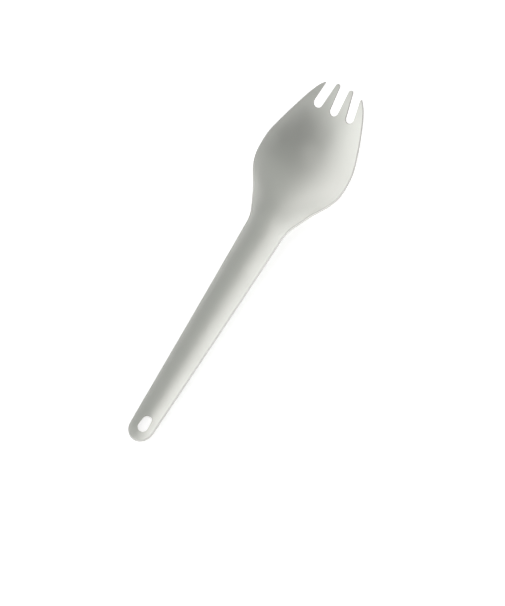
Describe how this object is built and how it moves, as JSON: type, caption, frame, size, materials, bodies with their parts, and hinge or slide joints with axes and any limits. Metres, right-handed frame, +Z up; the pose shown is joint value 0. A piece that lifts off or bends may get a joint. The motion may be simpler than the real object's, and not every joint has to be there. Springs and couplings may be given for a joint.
{
  "type": "spork",
  "caption": "One-piece pressed metal camping spork with a shallow bowl, four tines, a trough-shaped handle and a teardrop hanging hole.",
  "frame": {"origin": "middle of the spork's length and width, on the table that it rests on", "axes": "+Y from the handle end to the tines, +X to the right seen from above with the hollow side up, +Z up out of the bowl"},
  "size_m": [0.0402, 0.1655, 0.0159],
  "materials": {
    "titanium": "fine bead-blasted matte titanium, pale greenish grey"
  },
  "bodies": {
    "root": {"spork": "titanium"}
  },
  "joints": []
}
